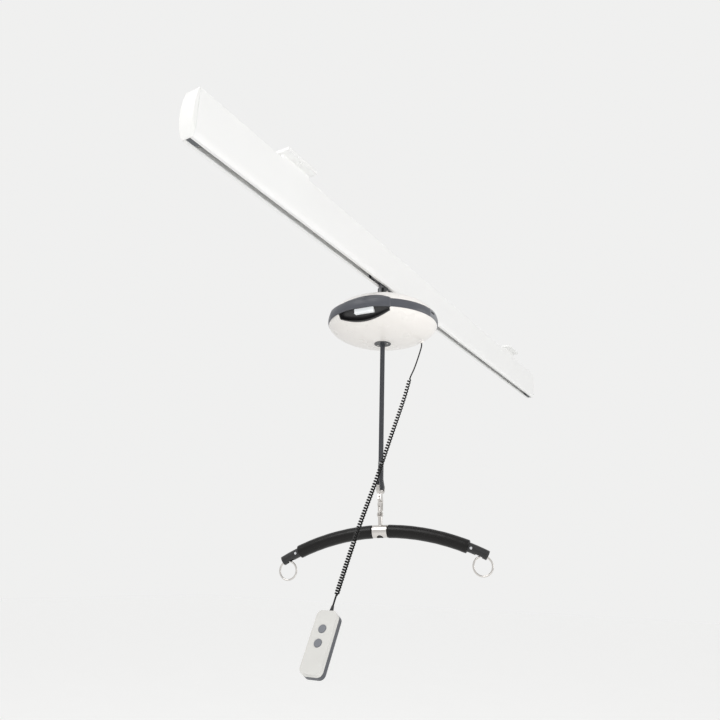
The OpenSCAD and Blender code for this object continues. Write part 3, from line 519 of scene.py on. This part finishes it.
def lower_shell_grid():
    """Rows up the outside from the strap's hole to the rim, round the rim by a quarter turn, and down the
    inside. The columns are evenly spread at the hole and gather at the edge's corners."""
    turn, edge_z, front = notch_edge()
    even = turn.copy()
    even[:front] = np.linspace(turn[0], turn[front - 1], front)
    low = np.arccos(exit_hole / pod_radius)
    high = np.arcsin(-edge_z / pod_down)
    share = np.linspace(0, 1, lower_rows)[:, None]
    height = -pod_down * np.sin(low + (high[None] - low) * share)
    outer = pod_ring(even + (turn - even) * share ** gather, height)
    out = pod_out(outer)
    edge = outer[-1]
    run = unit(np.roll(edge, -1, axis=0) - np.roll(edge, 1, axis=0))
    inward = unit(np.cross(out[-1], run))
    lip = np.full(len(turn), shell_edge)
    lip[:front] = shell_edge + (rim - shell_edge) * smooth((band_low - edge_z[:front]) / rim_rise)
    bend = np.linspace(0, np.pi / 2, rim_rows)[1:, None, None]
    rolled = edge + lip[:, None] * (np.sin(bend) * inward - (1 - np.cos(bend)) * out[-1])
    inner = (outer - shell_wall * out)[::-1]
    return np.concatenate([outer, rolled, inner])


def upper_shell_grid():
    """Rows up the outside from the band to the stem's hole and back down the inside."""
    low = math.asin((band_top + shell_gap) / pod_up)
    high = math.acos(stem_hole / pod_radius)
    turn = np.linspace(low, high, upper_rows)[:, None]
    outer = pod_ring(around[None], pod_up * np.sin(turn))
    inner = (outer - shell_wall * pod_out(outer))[::-1]
    return np.concatenate([outer, inner])


pod_white = Finish("pod_white", Coat_Weight=0.25, Coat_Roughness=0.08, Specular_IOR_Level=0.5)
pod_cloud = pod_white.noise(9, 2)
pod_white.set("Base Color", pod_white.mix(pod_cloud, shown(241, 237, 233), shown(244, 241, 237)))
pod_white.set("Roughness", 0.26 + 0.04 * pod_white.noise(30, 1))
pod_white.bump(pod_white.noise(24, 1), 0.003, 0.0005)
lower_shell = add_grid("lower_shell_moulding", pod_middle + lower_shell_grid(), pod_white, wrap_rows=True)
put(lower_shell, "carriage", "pod_white", "lower_shell")
upper_shell = add_grid("upper_shell_moulding", pod_middle + upper_shell_grid(), pod_white, wrap_rows=True)
put(upper_shell, "carriage", "pod_white", "upper_shell")
softened("cord_gland", "carriage", "pod_white", pod_white, 0.4 * mm)


# Band: a satin blue-grey ring round the pod's widest line. Behind the front bezel its lower part is open, so
# that the recess runs up behind the bezel. A lighter inlaid piece at its right holds the charging slot.
band_grey = moulded("band_grey", shown(74, 76, 82), shown(81, 83, 90), 0.38, 1500)
band_out = 0.6 * mm
band_wall = 4.0 * mm
band_round = 0.8 * mm
round_share = 0.06
opening_rise = 8.0 * mm
slot_z = 4.2 * mm
slot_width = 22.0 * mm
slot_height = 6.0 * mm
pocket_depth = 2.2 * mm
pocket_low = -2.0 * mm
pocket_high = 11.0 * mm
pocket_slope = 3.0 * mm
# Azimuths are in degrees from the front, and a flank is the width over which a form fades out.
opening_from = -21.5
opening_to = 34.0
opening_flank = 2.0
slot_at = 90.5
pocket_half = 4.8
pocket_flank = 1.0


def between(x, low, high, soft):
    """1 between two values and 0 outside, with smooth flanks of a given width."""
    return smooth((x - low) / soft + 0.5) * smooth((high - x) / soft + 0.5)


def from_front(azimuth):
    """Azimuth as degrees from -180 to 180."""
    return (np.degrees(azimuth) + 180) % 360 - 180


def band_grid():
    """Rows up the outside, over a rounded edge, down the inside and back under, with the low edge raised in
    front and a pocket sunk behind the charging slot."""
    degrees = from_front(around)
    behind = between(degrees, opening_from, opening_to, opening_flank)
    pocket = pocket_depth * between(degrees, slot_at - pocket_half, slot_at + pocket_half, pocket_flank)
    low = band_low + opening_rise * behind
    share = np.concatenate([[0, 0.02], np.linspace(round_share, 1 - round_share, 14), [0.98, 1]])[:, None]
    z = low[None] + (band_top - low[None]) * share
    sunk = band_round * np.maximum(0, 1 - np.minimum(share, 1 - share) / round_share) ** 2
    sunk = sunk + pocket * between(z, pocket_low, pocket_high, pocket_slope)
    outer = pod_ring(around[None], z)
    out = pod_out(outer)
    inner = outer - band_wall * out
    return np.concatenate([outer + (band_out - sunk)[..., None] * out, inner[::-1]])


band = add_grid("band_ring", pod_middle + band_grid(), band_grey, wrap_rows=True)
put(band, "carriage", "band_grey", "band")
band_light = moulded("band_light", shown(122, 124, 128), shown(132, 134, 138), 0.38, 1500)
softened("band_end", "carriage", "band_light", band_light, 0.5 * mm)


def socket_grid():
    """A dished oblong plate in the slot: rings of one outline, a fourth-power oval, that shrink from the edge
    to the middle, with the edge standing out of the floor."""
    turn = full_turn(64)
    sharp = (np.abs(np.cos(turn)) ** 4 + np.abs(np.sin(turn)) ** 4) ** -0.25
    share = np.array([1.0, 1.0, 0.94, 0.86, 0.82, 0.5, 0.0])[:, None]
    depth = np.array([-1.5, -0.7, -0.6, -0.7, -1.3, -1.3, -1.3])[:, None] * mm
    along = share * slot_width / 2 * sharp * np.cos(turn)
    z = slot_z + share * slot_height / 2 * sharp * np.sin(turn)
    return pod_ring(math.radians(slot_at) + along / pod_radius, z, depth)


socket_black = moulded("socket_black", shown(10, 10, 10), shown(16, 16, 16), 0.6)
charge_socket = add_grid("charge_socket", pod_middle + socket_grid(), socket_black)
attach(charge_socket, "carriage")


# Front bezel: a raised visor of the same plastic over the recess. Its upper edge rises slowly from the band
# on the left to a peak and falls fast on the right, and a soft crease runs along it below that edge.
bezel_top = 28.5 * mm
bezel_peak = -57.0 * mm
bezel_reach = 159.0 * mm
rise_radius = 394.0 * mm
fall_radius = 65.0 * mm
bezel_out = 3.4 * mm
bezel_above = 1.6 * mm
bezel_ends = 0.8 * mm
bezel_back = 0.65 * mm
crease_z = 14.0 * mm
crease_height = 9.0 * mm
low_round = 1.4 * mm
low_share = 0.06
high_round = 0.8 * mm
high_share = 0.05
# From end to end in degrees; near the ends the columns are closer, and the front sinks over a fade.
bezel_from = -46.0
bezel_to = 37.0
close_from = 6.0
close_to = 3.0
fade_from = 10.0
fade_to = 1.6


def bezel_grid():
    """Across, azimuth from end to end; up, from the inside of the low edge over the front to the upper edge.
    The upper edge is two circles that meet at the peak, never lower than the band. The front stands out by
    bezel_out under the crease and less above it, and sinks to the band at both ends."""
    degrees = np.concatenate([np.linspace(bezel_from, bezel_from + close_from, 13)[:-1],
                              np.linspace(bezel_from + close_from, bezel_to - close_to, 150)[:-1],
                              np.linspace(bezel_to - close_to, bezel_to, 17)])
    azimuth = np.radians(degrees)
    across = -bezel_reach * np.sin(azimuth) - bezel_peak
    bend = np.where(across > 0, rise_radius, fall_radius)
    top = np.maximum(bezel_top - bend + np.sqrt(np.maximum(bend ** 2 - across ** 2, 0)), band_top)
    share = np.concatenate([[0, 0.012, 0.035], np.linspace(0.08, 0.92, 28), [0.965, 0.988, 1]])[:, None]
    z = band_low + (top[None] - band_low) * share
    crease = smooth((z - crease_z) / crease_height)
    stand = bezel_out * (1 - crease) + bezel_above * crease
    low_edge = np.maximum(0, 1 - share / low_share) ** 2 * low_round
    high_edge = np.maximum(0, 1 - (1 - share) / high_share) ** 2 * high_round
    ends = smooth((degrees - bezel_from) / fade_from) * smooth((bezel_to - degrees) / fade_to)
    stand = bezel_ends + (stand - low_edge - high_edge - bezel_ends) * ends[None]
    base = pod_ring(azimuth[None], z)
    out = pod_out(base)
    inner = base + bezel_back * out
    front = base + stand[..., None] * out
    loop = np.concatenate([front, inner[::-1]])
    first = loop[:, :1].mean(0, keepdims=True).repeat(len(loop), 0)
    last = loop[:, -1:].mean(0, keepdims=True).repeat(len(loop), 0)
    return np.concatenate([first, loop, last], 1)


bezel = add_grid("front_bezel_visor", pod_middle + bezel_grid(), band_grey, wrap_rows=True, wrap_cols=False)
put(bezel, "carriage", "band_grey", "front_bezel")


# Recess: a near-black moulded lining behind the notch that runs up behind the bezel. A small blank display
# window is set in it and glows faintly.
recess_dark = moulded("recess_dark", shown(34, 34, 35), shown(44, 44, 46), 0.36, 1500)
softened("recess_tray", "carriage", "recess_dark", recess_dark, 0.3 * mm)
display_pale = Finish("display_pale", Roughness=0.12, Emission_Strength=0.35, Coat_Weight=0.4)
display_tone = display_pale.mix(display_pale.noise(30, 1), shown(226, 229, 231), shown(240, 242, 243))
display_pale.set("Base Color", display_tone)
display_pale.set("Emission Color", display_tone)
softened("display", "carriage", "display_pale", display_pale, 0.3 * mm)


# Inside the pod: an aluminium chassis with bronze bushes carries the strap drum on its shaft, driven by a
# motor through a gearbox and a pinion; two battery packs and a circuit board fill the rest.
plain_aluminium = metal("plain_aluminium", (0.72, 0.73, 0.75, 1), 0.38, (1, 0.2, 1))
gear_brass = metal("gear_brass", (0.72, 0.55, 0.27, 1), 0.3, (0.2, 1, 1))
battery_case = moulded("battery_case", shown(46, 48, 52), shown(56, 58, 62), 0.5)
board_green = moulded("board_green", shown(18, 74, 42), shown(26, 88, 52), 0.4)
softened("chassis", "carriage", "plain_aluminium", plain_aluminium, 0.5 * mm)
softened("shaft_bushes", "carriage", "gear_brass", gear_brass, 0.3 * mm)
softened("motor", "carriage", "zinc_steel", zinc, 1.0 * mm)
softened("gearbox", "carriage", "plain_aluminium", plain_aluminium, 0.8 * mm)
for end in ("near", "far"):
    softened("battery_" + end, "carriage", "battery_case", battery_case, 3.0 * mm, 3)
softened("circuit_board", "carriage", "board_green", board_green, 0.3 * mm)
softened("drum", "strap_drum", "plain_aluminium", plain_aluminium, 0.5 * mm)
softened("drum_gear", "strap_drum", "gear_brass", gear_brass, 0.12 * mm)
softened("drum_shaft", "strap_drum", "bright_steel", bright_steel, 0.5 * mm)
softened("pinion", "motor_pinion", "bright_steel", bright_steel, 0.1 * mm)


# Strap exit: a round moulded grey guide at the pod's lowest point, with a slot that the strap runs through.
# Two steel screws hold it.
exit_grey = moulded("exit_grey", shown(64, 65, 68), shown(76, 77, 80), 0.44)
softened("strap_exit", "carriage", "band_grey", exit_grey, 0.8 * mm, 3)
softened("exit_screws", "carriage", "bright_steel", bright_steel, 0.4 * mm)


# Strap: dark grey woven webbing that runs from the drum down through the exit; its end is folded round the
# fork's pin and sewn to itself with a pale thread.
strap_low, strap_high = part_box("strap")
strap_x = (strap_low.x + strap_high.x) / 2
strap_half = (strap_high.x - strap_low.x) / 2
strap_thick = strap_high.y - strap_low.y
strap_top = strap_high.z
joint_reach = 0.2 * mm
strap_joint = strap_low.z - joint_reach
strap_steps = 160
rib_pitch = 1.1 * mm
warp_pitch = 1.6 * mm
seam_inset = 2.8 * mm
thread_half = 0.6 * mm
seam_pitch = 4.2 * mm
seam_dash = 0.66
cross_pitch = 2.6 * mm
cross_dash = 0.75
cross_rows = ((1.0 * mm, 4.5 * mm), (6.8 * mm, 8.6 * mm))


def webbing(name, dark, pale, sewn=0.0):
    """Woven tape: ribs across it and warp lines along it in two UV directions, in metres. Over a sewn length
    two dashed rows of pale thread run along it, and two rows of close stitches cross it near both ends."""
    finish = Finish(name, Sheen_Weight=0.08, Sheen_Roughness=0.5, Specular_IOR_Level=0.25)
    place = finish.add("TexCoord", out=2)
    across = finish.add("SeparateXYZ", None, {0: place}, out=0)
    along = finish.add("SeparateXYZ", None, {0: place}, out=1)
    rib = finish.add("Math", {"operation": "SINE"}, {0: along * (2 * math.pi / rib_pitch)})
    warp = finish.add("Math", {"operation": "SINE"}, {0: across * (2 * math.pi / warp_pitch)})
    weave = 0.5 + 0.25 * rib * warp + 0.25 * rib
    cloud = finish.noise(60, 3)
    tone = finish.mix(0.35 * weave + 0.65 * cloud, dark, pale)
    if sewn:
        row = finish.add("Math", {"operation": "PINGPONG"}, {0: across, 1: strap_half})
        seam = finish.add("Math", {"operation": "ABSOLUTE"}, {0: row - seam_inset}) < thread_half
        dash = finish.add("Math", {"operation": "FRACT"}, {0: along * (1 / seam_pitch)}) < seam_dash
        from_end = finish.add("Math", {"operation": "PINGPONG"}, {0: along, 1: sewn / 2})
        first, second = ((from_end > low) * (from_end < high) for low, high in cross_rows)
        stitch = finish.add("Math", {"operation": "FRACT"}, {0: across * (1 / cross_pitch)}) < cross_dash
        tone = finish.mix(seam * dash + (first + second) * stitch, tone, shown(158, 158, 159))
    finish.set("Base Color", tone)
    finish.set("Roughness", 0.72 + 0.12 * cloud)
    finish.bump(weave, 0.5, 0.0002)
    return finish


def tape(path, half, thick, edge=10):
    """A flat band along a path in the plane of Y and Z: its section is a rectangle of the width along X whose
    short sides are half circles; columns go once round the section."""
    way = unit(np.gradient(path, axis=0))
    face = np.stack([-way[:, 1], way[:, 0]], -1)
    turn = np.linspace(-np.pi / 2, np.pi / 2, edge)
    right = np.stack([half - thick / 2 + thick / 2 * np.cos(turn), thick / 2 * np.sin(turn)], -1)
    across = np.linspace(half - thick / 2, -half + thick / 2, 14)[1:-1]
    flat = np.stack([across, np.full(len(across), thick / 2)], -1)
    section = np.concatenate([right, flat, -right, -flat])
    x = np.broadcast_to(section[None, :, 0], (len(path), len(section)))
    yz = path[:, None] + section[None, :, 1:] * face[:, None]
    grid = np.concatenate([x[..., None] + strap_x, yz], -1)
    lengths = lengths_along(path)
    columns = lengths_along(np.concatenate([section, section[:1]]))
    first = np.repeat(grid[:1].mean(1, keepdims=True), len(section), 1)
    last = np.repeat(grid[-1:].mean(1, keepdims=True), len(section), 1)
    rows = np.concatenate([[0], lengths, [lengths[-1], lengths[-1]]])
    return np.concatenate([first, grid, last]), rows, columns


strap_grey = webbing("strap_webbing", shown(44, 45, 49), shown(64, 66, 71))
strap_path = np.stack([np.zeros(strap_steps), np.linspace(strap_top, strap_joint, strap_steps)], -1)
strap_mesh, strap_rows, strap_cols = tape(strap_path, strap_half, strap_thick)
strap = add_grid("strap_band", strap_mesh, strap_grey, uv_rows=strap_rows, uv_cols=strap_cols)
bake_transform(strap)
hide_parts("strap")

end_low, end_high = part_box("strap_end")
end_thick = 2.1 * mm
ply = 1.15 * mm
flare_z = -722.0 * mm
loop_radius = end_high.y - end_thick / 2
pin_z = end_low.z + end_high.y
ply_steps = 40
flare_share = np.linspace(0, 1, 24)
loop_turn = np.linspace(np.pi, 2 * np.pi, 32)
front_ply = np.stack([np.full(ply_steps, -ply), np.linspace(end_high.z, flare_z, ply_steps)], -1)
front_flare = np.stack([-ply - (loop_radius - ply) * smooth(flare_share),
                        flare_z + (pin_z - flare_z) * flare_share], -1)[1:-1]
loop = np.stack([loop_radius * np.cos(loop_turn), pin_z + loop_radius * np.sin(loop_turn)], -1)
back_flare = (front_flare * [-1, 1])[::-1]
back_ply = (front_ply * [-1, 1])[::-1]
end_path = np.concatenate([front_ply, front_flare, loop, back_flare, back_ply])
end_mesh, end_rows, end_cols = tape(end_path, strap_half, end_thick)
stitched_grey = webbing("strap_sewn", shown(36, 37, 40), shown(54, 55, 60), float(end_rows[-1]))
strap_end = add_grid("strap_sewn_end", end_mesh, stitched_grey, uv_rows=end_rows, uv_cols=end_cols)
put(strap_end, "fork", "strap_webbing", "strap_end")

roll_grey = webbing("strap_wound", shown(44, 45, 49), shown(64, 66, 71))
softened("strap_roll", "strap_drum", "strap_webbing", roll_grey, 0.6 * mm)


# Hook: a forged steel snap hook with a sprung gate. It turns on a stem in the fork, which hangs by its pin in
# the strap's sewn end.
softened("hook_fork", "fork", "bright_steel", bright_steel, 1.2 * mm, 3)
softened("fork_pin", "fork", "bright_steel", bright_steel, 0.6 * mm)
softened("hook_body", "hook", "bright_steel", bright_steel, 1.3 * mm, 3)
softened("gate_pin", "hook", "bright_steel", bright_steel, 0.3 * mm)
softened("hook_gate", "gate", "bright_steel", bright_steel, 1.0 * mm, 3)


# Spreader bar: an arched black tube with foam grips on both sides of a bright collar whose eye hangs in the
# hook; its ends are bare, riveted, and open below for the rings.
bar_yaw = math.radians(14)
bar_tilt = math.radians(-2.4)
bar_pivot = next(np.array(joint["pos_m"]) for joint in frame["joints"] if joint["name"] == "bar_rock")
bar_z = -866.0 * mm
arch_radius = 605.0 * mm
bar_half = 282.0 * mm
bare_end = 48.0 * mm
tube_radius = 12.5 * mm
foam_radius = 17.5 * mm
foam_from = 21.2 * mm
foam_corner = 3.0 * mm
foam_gap = 0.12 * mm
foam_swell = 0.15 * mm
foam_rows = 180
foam_sides = 48


def turned(points):
    """Turns directions from the bar's own frame, whose Y runs along the bar: first a tilt, then a turn."""
    y = points[..., 1] * math.cos(bar_tilt) - points[..., 2] * math.sin(bar_tilt)
    z = points[..., 1] * math.sin(bar_tilt) + points[..., 2] * math.cos(bar_tilt)
    x = points[..., 0] * math.cos(bar_yaw) - y * math.sin(bar_yaw)
    return np.stack([x, points[..., 0] * math.sin(bar_yaw) + y * math.cos(bar_yaw), z], -1)


def at_bar(points):
    """Brings points of the bar's own frame, which is tilted about the hook's bowl, to the part's frame."""
    return bar_pivot + turned(points - bar_pivot * [0, 0, 1])


def foam_grid(start, end):
    """A sleeve along the arch between two angles: its radius falls in a quarter round at both ends to the
    tube, and it swells and dips very slightly along its length as foam does."""
    rows = np.linspace(0, 1, foam_rows)
    swell = foam_swell * np.sin(37 * rows) * np.sin(11 * rows + 1)
    angle = start + (end - start) * rows
    to_end = np.minimum(rows, 1 - rows) * abs(end - start) * arch_radius
    in_corner = np.maximum(foam_corner - to_end, 0)
    drop = foam_corner - np.sqrt(np.maximum(foam_corner ** 2 - in_corner ** 2, 0))
    radius = foam_radius + swell - drop
    bore = [tube_radius + foam_gap]
    radius = np.concatenate([bore, radius, bore])
    angle = np.concatenate([angle[:1], angle, angle[-1:]])
    turn = full_turn(foam_sides)
    reach = arch_radius + radius[:, None] * np.cos(turn)
    grid = np.stack([radius[:, None] * np.sin(turn), reach * np.sin(angle)[:, None],
                     bar_z - arch_radius + reach * np.cos(angle)[:, None]], -1)
    return at_bar(grid)


foam_black = Finish("foam_black", Specular_IOR_Level=0.24)
foam_cells = foam_black.add("TexVoronoi", None, {"Vector": foam_black.object_place(), "Scale": 1400.0})
foam_black.set("Base Color", foam_black.mix(foam_black.noise(40, 3), shown(14, 13, 13), shown(24, 23, 22)))
foam_black.set("Roughness", 0.27 + 0.08 * foam_black.noise(90, 3))
foam_black.bump(foam_cells, 0.06, 0.0003)
foam_start = math.asin(foam_from / arch_radius)
foam_end = math.asin((bar_half - bare_end) / arch_radius)
for foam_name, node, low, high in (("foam_grip_left", "foam_left", foam_start, foam_end),
                                   ("foam_grip_right", "foam_right", -foam_end, -foam_start)):
    grip = add_grid(foam_name, foam_grid(low, high), foam_black)
    put(grip, "spreader", "foam_black", node)

bar_black = moulded("bar_black", shown(20, 20, 21), shown(30, 30, 31), 0.34, 1200)
softened("bar_tube", "spreader", "bar_black", bar_black, 0.4 * mm)
softened("bar_rivets", "spreader", "plain_aluminium", plain_aluminium, 0.4 * mm)
softened("collar", "spreader", "bright_steel", bright_steel, 0.8 * mm, 3)


# Rings: welded rings of bright round steel wire. Each hangs in the open mouth of one of the bar's ends, and
# swings there.
ring_radius = 24.5 * mm
wire_radius = 2.5 * mm
ring_steps = 96
wire_steps = 24


def ring_grid(node):
    """A ring in the bar's upright plane: a circle of wire carried round a larger circle."""
    low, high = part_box(node)
    middle = np.array((low + high) / 2)
    turn = full_turn(ring_steps)[:, None]
    wire = full_turn(wire_steps)[None]
    reach = ring_radius + wire_radius * np.cos(wire)
    along = reach * np.cos(turn)
    flat = np.stack([wire_radius * np.sin(wire) + 0 * turn, along, reach * np.sin(turn)], -1)
    return turned(flat) + middle


for node, body in (("ring_left", "left_ring"), ("ring_right", "right_ring")):
    ring = add_grid(node + "_wire", ring_grid(node), bright_steel, wrap_rows=True)
    put(ring, body, "bright_steel", node)


# Stage: a pale floor, soft light from a panel above, one low in front and one at the side, and an even pale
# surround. Floor and surround look alike to the eye and to mirrors, and light the object less than that.
floor_z = -2.6
floor_half = 30.0
floor_glow = 0.3
surround_light = (0.61, 0.61, 0.61, 1)
surround_seen = (0.87, 0.87, 0.865, 1)
floor_mesh = bpy.data.meshes.new("floor")
floor_corners = [(floor_half * x, floor_half * y, floor_z) for x, y in ((-1, -1), (1, -1), (1, 1), (-1, 1))]
floor_mesh.from_pydata(floor_corners, [], [(0, 1, 2, 3)])
floor = bpy.data.objects.new("floor", floor_mesh)
bpy.context.scene.collection.objects.link(floor)
floor_pale = Finish("floor_pale", Roughness=0.9, Emission_Strength=1.0)
floor_cloud = floor_pale.noise(2, 2)
floor_pale.set("Base Color", floor_pale.mix(floor_cloud, (0.87, 0.87, 0.86, 1), (0.90, 0.90, 0.89, 1)))
floor_mesh.materials.append(floor_pale.material)


def seen_directly(tree):
    """1 for the camera's rays and for rays that come by a mirror or through glass, and 0 for all others."""
    ray = tree.nodes.new("ShaderNodeLightPath")
    camera_ray = Value(tree, ray.outputs["Is Camera Ray"])
    mirror_ray = Value(tree, ray.outputs["Is Glossy Ray"])
    return camera_ray + mirror_ray + Value(tree, ray.outputs["Is Transmission Ray"])


floor_pale.set("Emission Color", floor_glow * seen_directly(floor_pale.tree))

world = bpy.data.worlds.new("surround")
world.use_nodes = True
bpy.context.scene.world = world
ground = world.node_tree.nodes["Background"]
surround = world.node_tree.nodes.new("ShaderNodeMix")
surround.data_type = "RGBA"
feed(world.node_tree, surround.inputs[0], seen_directly(world.node_tree))
surround.inputs[6].default_value = surround_light
surround.inputs[7].default_value = surround_seen
world.node_tree.links.new(surround.outputs[2], ground.inputs["Color"])


def panel(name, place, target, size, power, mirrored=True):
    """A square soft light that faces a point, in metres and watts; one that isn't mirrored leaves no
    highlight."""
    data = bpy.data.lights.new(name, "AREA")
    data.size = size
    data.energy = power
    lamp = bpy.data.objects.new(name, data)
    lamp.visible_camera = False
    lamp.visible_glossy = mirrored
    bpy.context.scene.collection.objects.link(lamp)
    lamp.location = place
    lamp.rotation_mode = "QUATERNION"
    lamp.rotation_quaternion = (Vector(target) - Vector(place)).to_track_quat("-Z", "Y")


panel("top_panel", place=(-3.9, 0.6, 3.1), target=(-0.3, 0, -0.8), size=2.9, power=96)
panel("front_panel", place=(-3.2, -2.9, -1.95), target=(0.1, 0, -0.4), size=1.2, power=61, mirrored=False)
panel("side_panel", place=(1.6, -4.0, -0.3), target=(0.8, 0, -0.2), size=2.0, power=34)
